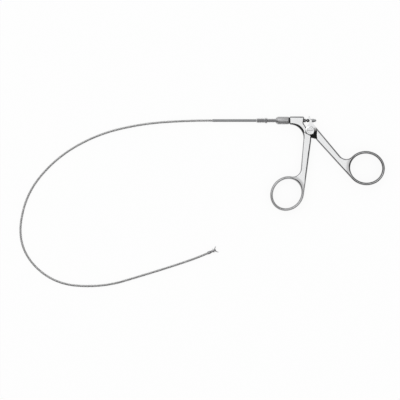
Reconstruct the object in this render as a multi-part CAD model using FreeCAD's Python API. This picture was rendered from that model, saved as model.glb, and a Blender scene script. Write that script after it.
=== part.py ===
import FreeCAD, Part
import math
import os
from FreeCAD import Vector

# Flexible endoscopic scissors, lying flat and open.
# X runs back along the handle, Y away from the finger rings, Z up from the surface.
# The origin is on the handle's pivot axis, at the flat underside of the fixed handle half.

# Clearances: pieces that are fixed in each other, pieces that turn or slide, milled slots
static_fit = 0.02
running_fit = 0.04
slot_clearance = 0.4
cheek_clearance = 0.05
rod_clearance = 0.15
lever_play = 0.15
screw_end_gap = 0.1

# How far joined shapes reach into each other, and cutting shapes past the faces they cut
overlap = 0.5
past = 1.0

# Two points closer than this are the same point
touch = 0.01

# A hexagon's radius at its corners, as a share of the radius at its flats
hexagon_corner = 1 / math.cos(math.radians(30))

# Handle halves
handle_depth = 6.2
edge_round = 1.0
handle_travel = 26.0
front_ring_centre = (-17.3, -48.1)
front_ring_radii = (13.7, 12.5)
front_ring_tilt = 52.0
rear_ring_centre = (43.0, -28.7)
rear_ring_radii = (14.3, 13.1)
rear_ring_tilt = -8.0
ring_band = 2.1
neck_round = 6.0

# Fixed half: body block, elbow and shank
body_front_x = -15.1
body_rear_x = -4.0
body_foot_x = -4.8
body_foot_y = 5.7
body_top_y = 10.7
body_low_y = 4.5
body_corner_round = 1.2
shank_back_point = (-4.95, -7.6)
shank_back_lean = 5.1
hub_radius = 3.1
hub_valley_angle = 143.0
hub_facing_angle = -55.0
boss_radius = 3.3
boss_rise = 0.25
facing_notch_round = 0.5

# Moving half: tongue, lever and shank
tongue_thickness = 3.0
tongue_radius = 3.5
tongue_low_points = ((5.5, -6.6), (0.8, -5.5))
shoulder_top_x = 4.8
shoulder_low_point = (4.8, -7.0)
shank_upper_point = (9.5, -3.1)
shank_upper_lean = -50.1
shoulder_round = 1.1
lever_left_point = (-0.05, 6.2)
lever_throw = 8.12
lever_rest_angle = 3.7
nose_radius = 0.85
horn_lean = 25.0
horn_half_width = 0.52
horn_length = 2.35
fork_floor_y = 6.3
lever_root_round = 0.8

# Pivot screw
screw_radius = 1.5
screw_head_radius = 2.1
screw_head_height = 0.8
screw_end_z = 0.55
screw_slot_width = 0.55
screw_slot_depth = 0.4

# Shaft line and drive rod
shaft_y = 7.6
rod_radius = 0.6
rod_rear_x = 4.9
thrust_ball_radius = 1.3
adjusting_nut_across = 2.3
adjusting_nut_length = 1.7
lock_nut_across = 1.9
lock_nut_length = 1.1
nut_gap = 0.05
guide_bush_radius = 1.35
guide_bush_length = 5.0
guide_bush_rear_x = -3.05
rod_crimp_radius = 0.72
rod_crimp_length = 10.0
rod_crimp_overlap = 1.5

# Union between handle and shaft
neck_radius = 2.5
neck_length = 1.1
spigot_radius = 2.3
spigot_length = 4.2
collar_across_flats = 5.8
collar_corner_radius = 3.2
collar_length = 8.2
collar_cone_length = 1.6
collar_cone_radius = 1.9
collar_thread_radius = 2.4
flange_radius = 2.3
flange_length = 1.6
rear_ferrule_radius = 1.6
rear_ferrule_front_x = -32.3
front_ferrule_radius = 1.95
front_ferrule_length = 8.4
ferrule_bead_radius = 2.35
ferrule_bead_length = 2.3
ferrule_edge = 0.3

# Stiff tube and flexible coil
tube_radius = 1.1
tube_bore_radius = 0.8
tube_front_x = -74.2
tube_rear_x = -27.0
rod_end_depth = 14.2
rod_front_x = tube_front_x + rod_end_depth
sheath_radius = 1.01
sheath_bore_radius = 0.62
wire_radius = 0.4
sheath_rest_z = 1.05

# Cutting tip, along its own axis from the blade pivot
tip_radius = 1.165
tip_rest_z = 1.2
tip_length = 5.6
sleeve_length = 1.7
sleeve_bore_radius = 0.66
clevis_nose = 0.85
clevis_nose_radius = 0.8
clevis_wall = 0.6
clevis_groove_reach = 0.3
clevis_groove_depth = 0.15
clevis_slot = 1.58
blade_pin_radius = 0.26
blade_pin_length = 2.1
yoke_pin_radius = 0.18
yoke_pin_length = 1.48
blade_opening = 52.0
blade_length = 3.3
blade_thickness = 0.75
blade_gap = 0.02
blade_root_radius = 0.62
blade_back = 0.7
blade_heel_x = 0.37
blade_belly = (2.0, 0.5)
blade_overlap = 0.14
blade_tip_radius = 0.12
blade_bevel = 0.28
tail_thickness = 0.42
tail_half_width = 0.37
cam_steps = 8
closed_inset = 0.035
yoke_open_reach = 0.96
yoke_closed_reach = 1.8
yoke_arm_half_width = 0.28
yoke_arm_inner = 0.46
yoke_arm_outer = 0.76
yoke_bridge_reach = 1.8
yoke_bridge_length = 0.6
yoke_bridge_half_width = 0.5
yoke_spigot_length = 0.45
yoke_root = 0.1
tip_crimp_radius = 0.56
tip_crimp_length = 2.3

# Route of the flexible coil: out of the stiff tube, down to the surface, round to the tip
mid_z = handle_depth / 2
route = [
    (tube_front_x, shaft_y, mid_z),
    (-92.6, shaft_y, mid_z),
    (-128.8, 5.2, sheath_rest_z),
    (-164.1, -3.5, sheath_rest_z),
    (-195.6, -22.3, sheath_rest_z),
    (-218.1, -50.9, sheath_rest_z),
    (-222.9, -89.4, sheath_rest_z),
    (-197.3, -116.8, sheath_rest_z),
    (-159.2, -120.0, sheath_rest_z),
    (-125.1, -109.9, sheath_rest_z),
    (-99.0, -101.7, sheath_rest_z),
    (-84.8, -96.7, tip_rest_z),
    (-77.7, -93.6, tip_rest_z),
]

up = Vector(0, 0, 1)
along_x = Vector(1, 0, 0)


def flat(point, z=0.0):
    return Vector(point[0], point[1], z)


def polar(radius, degrees, centre=(0.0, 0.0)):
    angle = math.radians(degrees)
    return (centre[0] + radius * math.cos(angle), centre[1] + radius * math.sin(angle))


def turned(point, degrees):
    radius = math.hypot(point[0], point[1])
    return polar(radius, math.degrees(math.atan2(point[1], point[0])) + degrees)


def grown(point, amount):
    radius = math.hypot(point[0], point[1])
    return (point[0] * (radius + amount) / radius, point[1] * (radius + amount) / radius)


def tangent_from(point, radius, side):
    distance = math.hypot(point[0], point[1])
    heading = math.degrees(math.atan2(point[1], point[0]))
    return polar(radius, heading + side * math.degrees(math.acos(radius / distance)))


def plate(edges, z_low, z_high):
    face = Part.Face(Part.Wire(Part.__sortEdges__(edges)))
    face.translate(Vector(0, 0, z_low))
    return face.extrude(Vector(0, 0, z_high - z_low))


def polygon_plate(points, z_low, z_high):
    corners = [flat(point) for point in points]
    edges = [Part.LineSegment(a, b).toShape() for a, b in zip(corners, corners[1:] + corners[:1])]
    return plate(edges, z_low, z_high)


def disc(radius, z_low, z_high, centre=(0.0, 0.0)):
    return Part.makeCylinder(radius, z_high - z_low, flat(centre, z_low), up)


def bar(radius, x_low, x_high, y=shaft_y, z=mid_z):
    return Part.makeCylinder(radius, x_high - x_low, Vector(x_low, y, z), along_x)


def turned_profile(points, y=shaft_y, z=mid_z):
    corners = [Vector(x, y + r, z) for x, r in points]
    face = Part.Face(Part.makePolygon(corners + corners[:1]))
    return face.revolve(Vector(0, y, z), along_x, 360)


def upright_edges(solid, points):
    found = []
    for point in points:
        for edge in solid.Edges:
            ends = [vertex.Point for vertex in edge.Vertexes]
            if len(ends) == 2 and abs(ends[0].z - ends[1].z) > touch:
                if all(math.hypot(end.x - point[0], end.y - point[1]) < touch for end in ends):
                    found.append(edge)
    return found


def rim_edges(solid, z):
    """Edges that lie in the level plane at height z."""
    found = []
    for edge in solid.Edges:
        heights = [edge.valueAt(edge.FirstParameter + share * (edge.LastParameter - edge.FirstParameter)).z
                   for share in (0.0, 0.5, 1.0)]
        if all(abs(height - z) < touch for height in heights):
            found.append(edge)
    return found


def rounded_rims(solid, radius):
    return solid.makeFillet(radius, rim_edges(solid, 0.0) + rim_edges(solid, handle_depth))


class FingerRing:
    """Elliptical finger ring with its straight facing edge and its neck on the shank."""

    def __init__(self, centre, radii, tilt):
        self.centre = centre
        self.radii = radii
        self.tilt = math.radians(tilt)

    def ellipse(self, inset=0.0):
        major, minor = self.radii[0] - inset, self.radii[1] - inset
        cos_tilt, sin_tilt = math.cos(self.tilt), math.sin(self.tilt)
        middle = flat(self.centre)
        major_end = middle + Vector(cos_tilt, sin_tilt, 0) * major
        minor_end = middle + Vector(-sin_tilt, cos_tilt, 0) * minor
        return Part.Ellipse(major_end, minor_end, middle)

    def to_ring(self, x, y):
        cos_tilt, sin_tilt = math.cos(self.tilt), math.sin(self.tilt)
        return (x * cos_tilt + y * sin_tilt, -x * sin_tilt + y * cos_tilt)

    def tangent_parameter(self, point, side):
        x, y = self.to_ring(point[0] - self.centre[0], point[1] - self.centre[1])
        x, y = x / self.radii[0], y / self.radii[1]
        return math.atan2(y, x) + side * math.acos(1.0 / math.hypot(x, y))

    def meeting_parameter(self, point, lean):
        x, y = self.to_ring(point[0] - self.centre[0], point[1] - self.centre[1])
        u, v = self.to_ring(math.cos(math.radians(lean)), math.sin(math.radians(lean)))
        x, y = x / self.radii[0], y / self.radii[1]
        u, v = u / self.radii[0], v / self.radii[1]
        a, b, c = u * u + v * v, x * u + y * v, x * x + y * y - 1.0
        step = (-b - math.sqrt(b * b - a * c)) / a
        return math.atan2(y + step * v, x + step * u)

    def arc(self, start, end):
        while end < start:
            end += 2 * math.pi
        return Part.ArcOfEllipse(self.ellipse(), start, end)

    def hole(self):
        edge = self.ellipse(ring_band).toShape()
        return plate([edge], -past, handle_depth + past)


front_ring = FingerRing(front_ring_centre, front_ring_radii, front_ring_tilt)
rear_ring = FingerRing(rear_ring_centre, rear_ring_radii, rear_ring_tilt)


def elbow():
    """Centre, radius and lower end of the round inner corner between body and shank."""
    lean = math.radians(shank_back_lean)
    out_x, out_y = math.cos(lean), -math.sin(lean)
    reach_x = body_front_x - shank_back_point[0]
    reach_y = body_low_y - shank_back_point[1]
    radius = (-reach_x * out_x - reach_y * out_y) / (1.0 - out_y)
    centre = (body_front_x, body_low_y - radius)
    end = (centre[0] + radius * out_x, centre[1] + radius * out_y)
    return centre, radius, end


def front_outline():
    valley = polar(hub_radius, hub_valley_angle)
    facing_top = polar(hub_radius, hub_facing_angle)
    facing = front_ring.tangent_parameter(facing_top, -1)
    neck = front_ring.meeting_parameter(shank_back_point, -90.0 - shank_back_lean)
    ring_arc = front_ring.arc(neck, facing)
    centre, radius, elbow_end = elbow()
    elbow_mid = polar(radius, (90.0 - shank_back_lean) / 2, centre)
    elbow_top = (body_front_x, body_low_y)
    points = [elbow_top, (body_front_x, body_top_y), (body_rear_x, body_top_y),
              (body_foot_x, body_foot_y), valley]
    edges = [Part.LineSegment(flat(a), flat(b)).toShape() for a, b in zip(points, points[1:])]
    hub_mid = polar(hub_radius, (hub_valley_angle + hub_facing_angle) / 2)
    edges.append(Part.Arc(flat(valley), flat(hub_mid), flat(facing_top)).toShape())
    edges.append(Part.LineSegment(flat(facing_top), ring_arc.EndPoint).toShape())
    edges.append(ring_arc.toShape())
    edges.append(Part.LineSegment(ring_arc.StartPoint, flat(elbow_end)).toShape())
    edges.append(Part.Arc(flat(elbow_end), flat(elbow_mid), flat(elbow_top)).toShape())
    neck_point = (ring_arc.StartPoint.x, ring_arc.StartPoint.y)
    return edges, valley, neck_point, facing_top


def tongue_slot():
    """Space that the moving half's tongue sweeps inside the fixed half."""
    half = tongue_thickness / 2 + cheek_clearance
    sweep = [grown(turned(point, -handle_travel), slot_clearance)
             for point in (tongue_low_points[0], tongue_low_points[1],
                           tangent_from(tongue_low_points[1], tongue_radius, -1))]
    far = (sweep[0][0] + 2 * hub_radius, sweep[0][1])
    points = [(0, 0), (far[0], 0), far] + sweep
    slot = polygon_plate(points, mid_z - half, mid_z + half)
    return slot.fuse(disc(tongue_radius + slot_clearance, mid_z - half, mid_z + half))


def front_handle():
    edges, valley, neck_point, facing_top = front_outline()
    solid = plate(edges, 0.0, handle_depth)
    solid = solid.makeFillet(neck_round, upright_edges(solid, [neck_point]))
    solid = solid.makeFillet(body_corner_round, upright_edges(solid, [(body_rear_x, body_top_y)]))
    notches = [valley, facing_top, (body_foot_x, body_foot_y)]
    solid = solid.makeFillet(facing_notch_round, upright_edges(solid, notches))
    solid = solid.cut(front_ring.hole())
    solid = rounded_rims(solid, edge_round)
    solid = solid.fuse(disc(boss_radius, mid_z, handle_depth + boss_rise))
    solid = solid.fuse(bar(neck_radius, body_front_x - neck_length, body_front_x + overlap))
    spigot_front = body_front_x - neck_length - spigot_length
    solid = solid.fuse(bar(spigot_radius, spigot_front, body_front_x))
    solid = solid.cut(tongue_slot())
    solid = solid.cut(disc(screw_radius + static_fit, screw_end_z - screw_end_gap, handle_depth + past))
    head_seat = handle_depth + boss_rise - screw_head_height
    solid = solid.cut(disc(screw_head_radius + static_fit, head_seat, handle_depth + past))
    solid = solid.cut(bar(rod_radius + rod_clearance, spigot_front - past, body_rear_x + past))
    bush_front = guide_bush_rear_x - guide_bush_length
    solid = solid.cut(bar(guide_bush_radius + static_fit, bush_front, body_rear_x + past))
    return solid.removeSplitter()


def upper_edge_y(x):
    slope = math.tan(math.radians(shank_upper_lean))
    return shank_upper_point[1] + (x - shank_upper_point[0]) * slope


def lever_nose():
    return polar(lever_throw, 90.0 - lever_rest_angle)


def rear_shank():
    shoulder_top = (shoulder_top_x, upper_edge_y(shoulder_top_x))
    facing = rear_ring.tangent_parameter(shoulder_low_point, 1)
    neck = rear_ring.meeting_parameter(shoulder_top, shank_upper_lean)
    ring_arc = rear_ring.arc(facing, neck)
    edges = [
        Part.LineSegment(flat(shoulder_low_point), flat(shoulder_top)).toShape(),
        Part.LineSegment(flat(shoulder_top), ring_arc.EndPoint).toShape(),
        ring_arc.toShape(),
        Part.LineSegment(ring_arc.StartPoint, flat(shoulder_low_point)).toShape(),
    ]
    solid = plate(edges, 0.0, handle_depth)
    neck_point = (ring_arc.EndPoint.x, ring_arc.EndPoint.y)
    solid = solid.makeFillet(neck_round, upright_edges(solid, [neck_point]))
    solid = solid.makeFillet(shoulder_round, upright_edges(solid, [shoulder_low_point]))
    solid = solid.cut(rear_ring.hole())
    return rounded_rims(solid, edge_round)


def lever_and_tongue():
    low, high = mid_z - tongue_thickness / 2, mid_z + tongue_thickness / 2
    nose = lever_nose()
    inside = 2.0
    root_x = nose[0] + nose_radius
    root = (root_x, upper_edge_y(root_x))
    points = [
        tangent_from(lever_left_point, tongue_radius, 1),
        lever_left_point,
        (nose[0] - nose_radius, nose[1]),
        (root_x, nose[1]),
        root,
        (shoulder_top_x + inside, upper_edge_y(shoulder_top_x + inside)),
        (tongue_low_points[0][0] + inside, tongue_low_points[0][1] - inside / 2),
        tongue_low_points[0],
        tongue_low_points[1],
        tangent_from(tongue_low_points[1], tongue_radius, -1),
    ]
    solid = polygon_plate(points, low, high)
    solid = solid.makeFillet(lever_root_round, upright_edges(solid, [root]))
    solid = solid.fuse(disc(tongue_radius, low, high))
    solid = solid.fuse(disc(nose_radius, low, high, nose))
    lean = 90.0 + horn_lean
    horn_top = polar(horn_length, lean, nose)
    sides = [polar(horn_half_width, lean + side, centre)
             for centre, side in ((nose, 90), (nose, -90), (horn_top, -90), (horn_top, 90))]
    solid = solid.fuse(polygon_plate(sides, low, high))
    solid = solid.fuse(disc(horn_half_width, low, high, horn_top))
    fork = rod_radius + rod_clearance
    reach = 2 * nose_radius + horn_length
    gap = Part.makeBox(2 * reach, 2 * reach, 2 * fork, Vector(nose[0] - reach, fork_floor_y, mid_z - fork))
    return solid.cut(gap)


def rear_handle():
    solid = rear_shank().fuse(lever_and_tongue())
    solid = solid.cut(disc(screw_radius + running_fit, -past, handle_depth + past))
    return solid.removeSplitter()


def pivot_screw():
    top = handle_depth + boss_rise
    head_low = top - screw_head_height + static_fit
    solid = disc(screw_radius, screw_end_z, head_low + overlap)
    solid = solid.fuse(disc(screw_head_radius, head_low, top))
    slot = Part.makeBox(2 * (screw_head_radius + past), screw_slot_width, screw_slot_depth + past,
                        Vector(-screw_head_radius - past, -screw_slot_width / 2, top - screw_slot_depth))
    return solid.cut(slot).removeSplitter()


def hollow(radius, bore, x_low, x_high):
    return bar(radius, x_low, x_high).cut(bar(bore, x_low - past, x_high + past))


def hexagon_bar(across_flats, x_low, x_high):
    radius = hexagon_corner * across_flats / 2
    corners = [Vector(x_low, shaft_y + radius * math.cos(math.radians(60 * k)),
                      mid_z + radius * math.sin(math.radians(60 * k))) for k in range(6)]
    face = Part.Face(Part.makePolygon(corners + corners[:1]))
    return face.extrude(Vector(x_high - x_low, 0, 0))


def guide_bush():
    low, high = guide_bush_rear_x - guide_bush_length, guide_bush_rear_x
    solid = hollow(guide_bush_radius, rod_radius + running_fit, low, high)
    rim = [edge for edge in solid.Edges
           if edge.BoundBox.XLength < touch and abs(edge.BoundBox.XMax - high) < touch
           and edge.BoundBox.YLength > 2 * guide_bush_radius - overlap]
    return solid.makeChamfer(ferrule_edge, rim)


def drive_rod():
    solid = bar(rod_radius, rod_front_x, rod_rear_x)
    rims = [edge for edge in solid.Edges if edge.BoundBox.XLength < touch]
    return solid.makeChamfer(rod_radius / 3, rims)


def thrust_ball():
    prong = rod_radius + rod_clearance
    reach = math.sqrt(thrust_ball_radius ** 2 - prong ** 2)
    x = lever_nose()[0] - nose_radius - lever_play - reach
    bore = rod_radius + static_fit
    half = math.sqrt(thrust_ball_radius ** 2 - bore ** 2)
    left, right = Vector(x - half, shaft_y + bore, mid_z), Vector(x + half, shaft_y + bore, mid_z)
    outside = Part.Arc(left, Vector(x, shaft_y + thrust_ball_radius, mid_z), right).toShape()
    section = Part.Face(Part.Wire([outside, Part.LineSegment(right, left).toShape()]))
    return section.revolve(Vector(0, shaft_y, mid_z), along_x, 360)


def adjusting_nut_x():
    return lever_nose()[0] + nose_radius + lever_play


def nut(across, x_low, length):
    solid = hexagon_bar(across, x_low, x_low + length)
    flat_radius = across / 2
    corner = hexagon_corner * flat_radius
    edge = corner - flat_radius
    trim = turned_profile([(x_low, 0), (x_low, flat_radius + edge / 2), (x_low + edge, corner),
                           (x_low + length - edge, corner), (x_low + length, flat_radius + edge / 2),
                           (x_low + length, 0)])
    return solid.common(trim).cut(bar(rod_radius + static_fit, x_low - past, x_low + length + past))


def adjusting_nut():
    return nut(adjusting_nut_across, adjusting_nut_x(), adjusting_nut_length)


def lock_nut():
    x_low = adjusting_nut_x() + adjusting_nut_length + nut_gap
    return nut(lock_nut_across, x_low, lock_nut_length)


def rod_crimp():
    rear = rod_front_x + rod_crimp_overlap
    front = rear - rod_crimp_length
    solid = bar(rod_crimp_radius, front, rear)
    solid = solid.cut(bar(wire_radius + running_fit, front - past, rod_front_x))
    return solid.cut(bar(rod_radius + static_fit, rod_front_x, rear + past))


def union_plane_x():
    return body_front_x - neck_length - spigot_length


def clamp_collar():
    rear = body_front_x - neck_length
    front = rear - collar_length
    solid = hexagon_bar(collar_across_flats, front, rear)
    solid = solid.common(bar(collar_corner_radius, front - past, rear + past))
    cone = turned_profile([(front - collar_cone_length, 0), (front - collar_cone_length, collar_cone_radius),
                           (front, collar_across_flats / 2), (front, 0)])
    solid = solid.fuse(cone)
    edge = collar_corner_radius - collar_across_flats / 2
    trim = turned_profile([(front - collar_cone_length, 0), (front - collar_cone_length, collar_corner_radius),
                           (rear - edge, collar_corner_radius), (rear, collar_across_flats / 2), (rear, 0)])
    solid = solid.common(trim)
    cavity_front = union_plane_x() - flange_length - 2 * static_fit
    solid = solid.cut(bar(collar_thread_radius, cavity_front, rear + past))
    bore = rear_ferrule_radius + static_fit
    return solid.cut(bar(bore, front - collar_cone_length - past, rear)).removeSplitter()


def rear_ferrule():
    rear = union_plane_x() - static_fit
    solid = bar(rear_ferrule_radius, rear_ferrule_front_x + static_fit, rear)
    solid = solid.fuse(bar(flange_radius, rear - flange_length, rear))
    solid = solid.cut(bar(tube_radius + static_fit, rear_ferrule_front_x - past, tube_rear_x + static_fit))
    return solid.cut(bar(rod_radius + rod_clearance, rear_ferrule_front_x, rear + past))


def front_ferrule():
    rear = rear_ferrule_front_x
    bead = rear - ferrule_bead_length
    front = rear - front_ferrule_length
    solid = turned_profile([
        (front, 0), (front, front_ferrule_radius - ferrule_edge),
        (front + ferrule_edge, front_ferrule_radius), (bead, front_ferrule_radius),
        (bead + ferrule_edge, ferrule_bead_radius), (rear - ferrule_edge, ferrule_bead_radius),
        (rear, front_ferrule_radius - ferrule_edge), (rear, 0)])
    return solid.cut(bar(tube_radius + static_fit, front - past, rear + past))


def stiffening_tube():
    return hollow(tube_radius, tube_bore_radius, tube_front_x, tube_rear_x)


def rounded_path(points):
    """Straight runs joined by tangent arcs, each arc as large as its two runs allow."""
    corners = [Vector(*point) for point in points]
    edges = []
    radii = []
    last = corners[0]
    for before, corner, after in zip(corners, corners[1:], corners[2:]):
        come, go = (corner - before), (after - corner)
        turn = come.getAngle(go)
        reach = 0.45 * min(come.Length, go.Length)
        radii.append(reach / math.tan(turn / 2))
        come.normalize()
        go.normalize()
        start, end = corner - come * reach, corner + go * reach
        inward = go - come
        inward.normalize()
        middle = corner + inward * (radii[-1] / math.cos(turn / 2) - radii[-1])
        edges.append(Part.LineSegment(last, start).toShape())
        edges.append(Part.Arc(start, middle, end).toShape())
        last = end
    edges.append(Part.LineSegment(last, corners[-1]).toShape())
    return Part.Wire(edges), radii


def cord(points, radius):
    path, radii = rounded_path(points)
    heading = Vector(*points[1]) - Vector(*points[0])
    section = Part.Wire(Part.makeCircle(radius, Vector(*points[0]), heading))
    tube = path.makePipeShell([section], True, False)
    expected = math.pi * radius ** 2 * path.Length
    print("cord of radius", radius, "length", round(path.Length, 1), "volume ratio",
          round(tube.Volume / expected, 4), "smallest bend radius", round(min(radii), 1))
    print("bend radii", [round(value, 1) for value in radii])
    return tube


def tip_heading():
    before, end = Vector(*route[-2]), Vector(*route[-1])
    heading = end - before
    heading.normalize()
    return heading


def coil_sheath():
    heading = tip_heading()
    first = (route[0][0] + past, route[0][1], route[0][2])
    end = Vector(*route[-1]) + heading * past
    inner = cord([first] + route[1:-1] + [tuple(end)], sheath_bore_radius)
    return cord(route, sheath_radius).cut(inner)


def pull_wire():
    start = (rod_front_x - static_fit, shaft_y, mid_z)
    stroke = yoke_closed_reach - yoke_open_reach
    stop = yoke_bridge_reach + yoke_bridge_length + yoke_spigot_length + stroke + static_fit
    end = Vector(*route[-1]) + tip_heading() * (tip_length - stop)
    return cord([start] + route[1:-1] + [tuple(end)], wire_radius)


def at_tip(solid):
    """Carries a piece from the tip's own axes, with the blade pivot at its origin, to its place."""
    heading = tip_heading()
    pivot = Vector(*route[-1]) + heading * tip_length
    angle = math.degrees(math.atan2(heading.y, heading.x))
    solid.rotate(Vector(0, 0, 0), up, angle)
    solid.translate(pivot)
    return solid


def tip_bar(radius, low, high):
    return bar(radius, low, high, 0.0, 0.0)


def tip_sleeve():
    end = sleeve_length - tip_length
    solid = tip_bar(tip_radius, -tip_length, end)
    return at_tip(solid.cut(tip_bar(sleeve_bore_radius, -tip_length - past, end + past)))


def tip_clevis():
    rear = sleeve_length - tip_length
    slot_rear = rear + clevis_wall
    drop = tip_radius - clevis_nose_radius
    nose_arc = (clevis_nose ** 2 + drop ** 2) / (2 * drop)
    half_turn = math.asin(clevis_nose / nose_arc) / 2
    bend = Vector(nose_arc * math.sin(half_turn), tip_radius - nose_arc * (1 - math.cos(half_turn)), 0)
    corners = [(clevis_nose, clevis_nose_radius), (clevis_nose, 0), (rear, 0), (rear, tip_radius),
               (slot_rear - clevis_groove_reach, tip_radius),
               (slot_rear, tip_radius - clevis_groove_depth),
               (slot_rear + clevis_groove_reach, tip_radius), (0, tip_radius)]
    sides = Part.makePolygon([flat(corner) for corner in corners])
    nose = Part.Arc(Vector(0, tip_radius, 0), bend, Vector(clevis_nose, clevis_nose_radius, 0))
    outline = Part.Wire(sides.Edges + [nose.toShape()])
    solid = Part.Face(outline).revolve(Vector(0, 0, 0), along_x, 360)
    slot = Part.makeBox(clevis_nose - slot_rear + past, 4 * tip_radius, clevis_slot,
                        Vector(slot_rear, -2 * tip_radius, -clevis_slot / 2))
    solid = solid.cut(slot)
    solid = solid.cut(tip_bar(sleeve_bore_radius, rear - past, slot_rear + overlap))
    return at_tip(solid.cut(disc(blade_pin_radius + static_fit / 2, -2 * tip_radius, 2 * tip_radius)))


def cam_line(share):
    """Point of the cam line in the closed blade's axes; share runs from closed, 0, to open, 1."""
    reach = yoke_closed_reach + (yoke_open_reach - yoke_closed_reach) * share
    return polar(reach, 180.0 - blade_opening * share)


def cam_heading(share):
    step = 0.001
    ahead, behind = cam_line(share + step), cam_line(share - step)
    return math.degrees(math.atan2(ahead[1] - behind[1], ahead[0] - behind[0]))


def cam_side(share, offset):
    return polar(offset, cam_heading(share) + 90.0, cam_line(share))


def cam_band(half_width, z_low, z_high):
    steps = [k / cam_steps for k in range(cam_steps + 1)]
    edges = []
    for side in (-half_width, half_width):
        spline = Part.BSplineCurve()
        spline.interpolate([flat(cam_side(step, side)) for step in steps])
        edges.append(spline.toShape())
    for share, toward in ((0.0, 180.0), (1.0, 0.0)):
        cap = polar(half_width, cam_heading(share) + toward, cam_line(share))
        left, right = cam_side(share, half_width), cam_side(share, -half_width)
        edges.append(Part.Arc(flat(left), flat(cap), flat(right)).toShape())
    return plate(edges, z_low, z_high)


def blade():
    """Upper blade, closed, with its cutting edge along the tip's axis and its cam tail behind."""
    low, high = blade_gap / 2, blade_gap / 2 + blade_thickness
    edge_y = -blade_overlap
    heel = (blade_heel_x, blade_back)
    tip_top = (blade_length - blade_tip_radius, edge_y + 2 * blade_tip_radius)
    tip_end = (blade_length, edge_y + blade_tip_radius)
    tip_low = (blade_length - blade_tip_radius, edge_y)
    edges = [
        Part.LineSegment(flat((0, -blade_root_radius)), flat((blade_root_radius, edge_y))).toShape(),
        Part.LineSegment(flat((blade_root_radius, edge_y)), flat(tip_low)).toShape(),
        Part.Arc(flat(tip_low), flat(tip_end), flat(tip_top)).toShape(),
        Part.Arc(flat(tip_top), flat(blade_belly), flat(heel)).toShape(),
        Part.LineSegment(flat(heel), flat((0, blade_root_radius))).toShape(),
        Part.LineSegment(flat((0, blade_root_radius)), flat((0, -blade_root_radius))).toShape(),
    ]
    solid = plate(edges, low, high)
    bevel = Part.Face(Part.makePolygon([
        Vector(blade_root_radius, edge_y - past, high + past), Vector(blade_root_radius, edge_y - past, low),
        Vector(blade_root_radius, edge_y, low), Vector(blade_root_radius, edge_y + blade_bevel, high),
        Vector(blade_root_radius, edge_y + blade_bevel, high + past),
        Vector(blade_root_radius, edge_y - past, high + past)]))
    solid = solid.cut(bevel.extrude(Vector(blade_length, 0, 0)))
    solid = solid.fuse(disc(blade_root_radius, low, high))
    solid = solid.fuse(cam_band(tail_half_width, low, low + tail_thickness))
    solid = solid.common(tip_bar(tip_radius - closed_inset, -tip_length, tip_length))
    solid = solid.cut(cam_band(yoke_pin_radius + running_fit, low - past, high + past))
    return solid.cut(disc(blade_pin_radius + static_fit, low - past, high + past)).removeSplitter()


def upper_blade():
    solid = blade()
    solid.rotate(Vector(0, 0, 0), up, blade_opening)
    return at_tip(solid)


def lower_blade():
    solid = blade()
    solid.rotate(Vector(0, 0, 0), along_x, 180)
    solid.rotate(Vector(0, 0, 0), up, -blade_opening)
    return at_tip(solid)


def blade_pin():
    return at_tip(disc(blade_pin_radius, -blade_pin_length / 2, blade_pin_length / 2))


def yoke_pin():
    return at_tip(disc(yoke_pin_radius, -yoke_pin_length / 2, yoke_pin_length / 2, (-yoke_open_reach, 0)))


def drive_yoke():
    rear = -yoke_bridge_reach - yoke_bridge_length
    solid = Part.makeBox(yoke_bridge_length, 2 * yoke_bridge_half_width, 2 * yoke_arm_outer,
                         Vector(rear, -yoke_bridge_half_width, -yoke_arm_outer))
    for low, high in ((yoke_arm_inner, yoke_arm_outer), (-yoke_arm_outer, -yoke_arm_inner)):
        arm = Part.makeBox(yoke_bridge_reach - yoke_open_reach + yoke_root, 2 * yoke_arm_half_width,
                           high - low, Vector(-yoke_bridge_reach - yoke_root, -yoke_arm_half_width, low))
        solid = solid.fuse(arm.fuse(disc(yoke_arm_half_width, low, high, (-yoke_open_reach, 0))))
    solid = solid.fuse(tip_bar(wire_radius, rear - yoke_spigot_length, rear + yoke_root))
    hole = disc(yoke_pin_radius + static_fit / 2, -tip_radius, tip_radius, (-yoke_open_reach, 0))
    solid = solid.cut(hole)
    return at_tip(solid.removeSplitter())


def tip_crimp():
    front = -yoke_bridge_reach - yoke_bridge_length
    solid = tip_bar(tip_crimp_radius, front - tip_crimp_length, front)
    bore = tip_bar(wire_radius + static_fit, front - tip_crimp_length - past, front + past)
    return at_tip(solid.cut(bore))


pieces = {
    "front_handle": front_handle,
    "rear_handle": rear_handle,
    "pivot_screw": pivot_screw,
    "rod_guide_bush": guide_bush,
    "drive_rod": drive_rod,
    "thrust_ball": thrust_ball,
    "adjusting_nut": adjusting_nut,
    "lock_nut": lock_nut,
    "rod_wire_crimp": rod_crimp,
    "clamp_collar": clamp_collar,
    "rear_ferrule": rear_ferrule,
    "front_ferrule": front_ferrule,
    "stiffening_tube": stiffening_tube,
    "coil_sheath": coil_sheath,
    "pull_wire": pull_wire,
    "tip_sleeve": tip_sleeve,
    "tip_clevis": tip_clevis,
    "upper_blade": upper_blade,
    "lower_blade": lower_blade,
    "blade_pivot_pin": blade_pin,
    "drive_yoke": drive_yoke,
    "yoke_pin": yoke_pin,
    "tip_wire_crimp": tip_crimp,
}

os.makedirs("parts", exist_ok=True)
for name, make in pieces.items():
    shape = make()
    solids = shape.Solids
    print(name, "solids", len(solids), "valid", shape.isValid(), "volume", round(shape.Volume, 3))
    shape = solids[0] if len(solids) == 1 else shape
    shape.exportStep(os.path.join("parts", name + ".step"))
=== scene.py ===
import math

import bmesh
import bpy
from mathutils import Matrix, Vector


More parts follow.
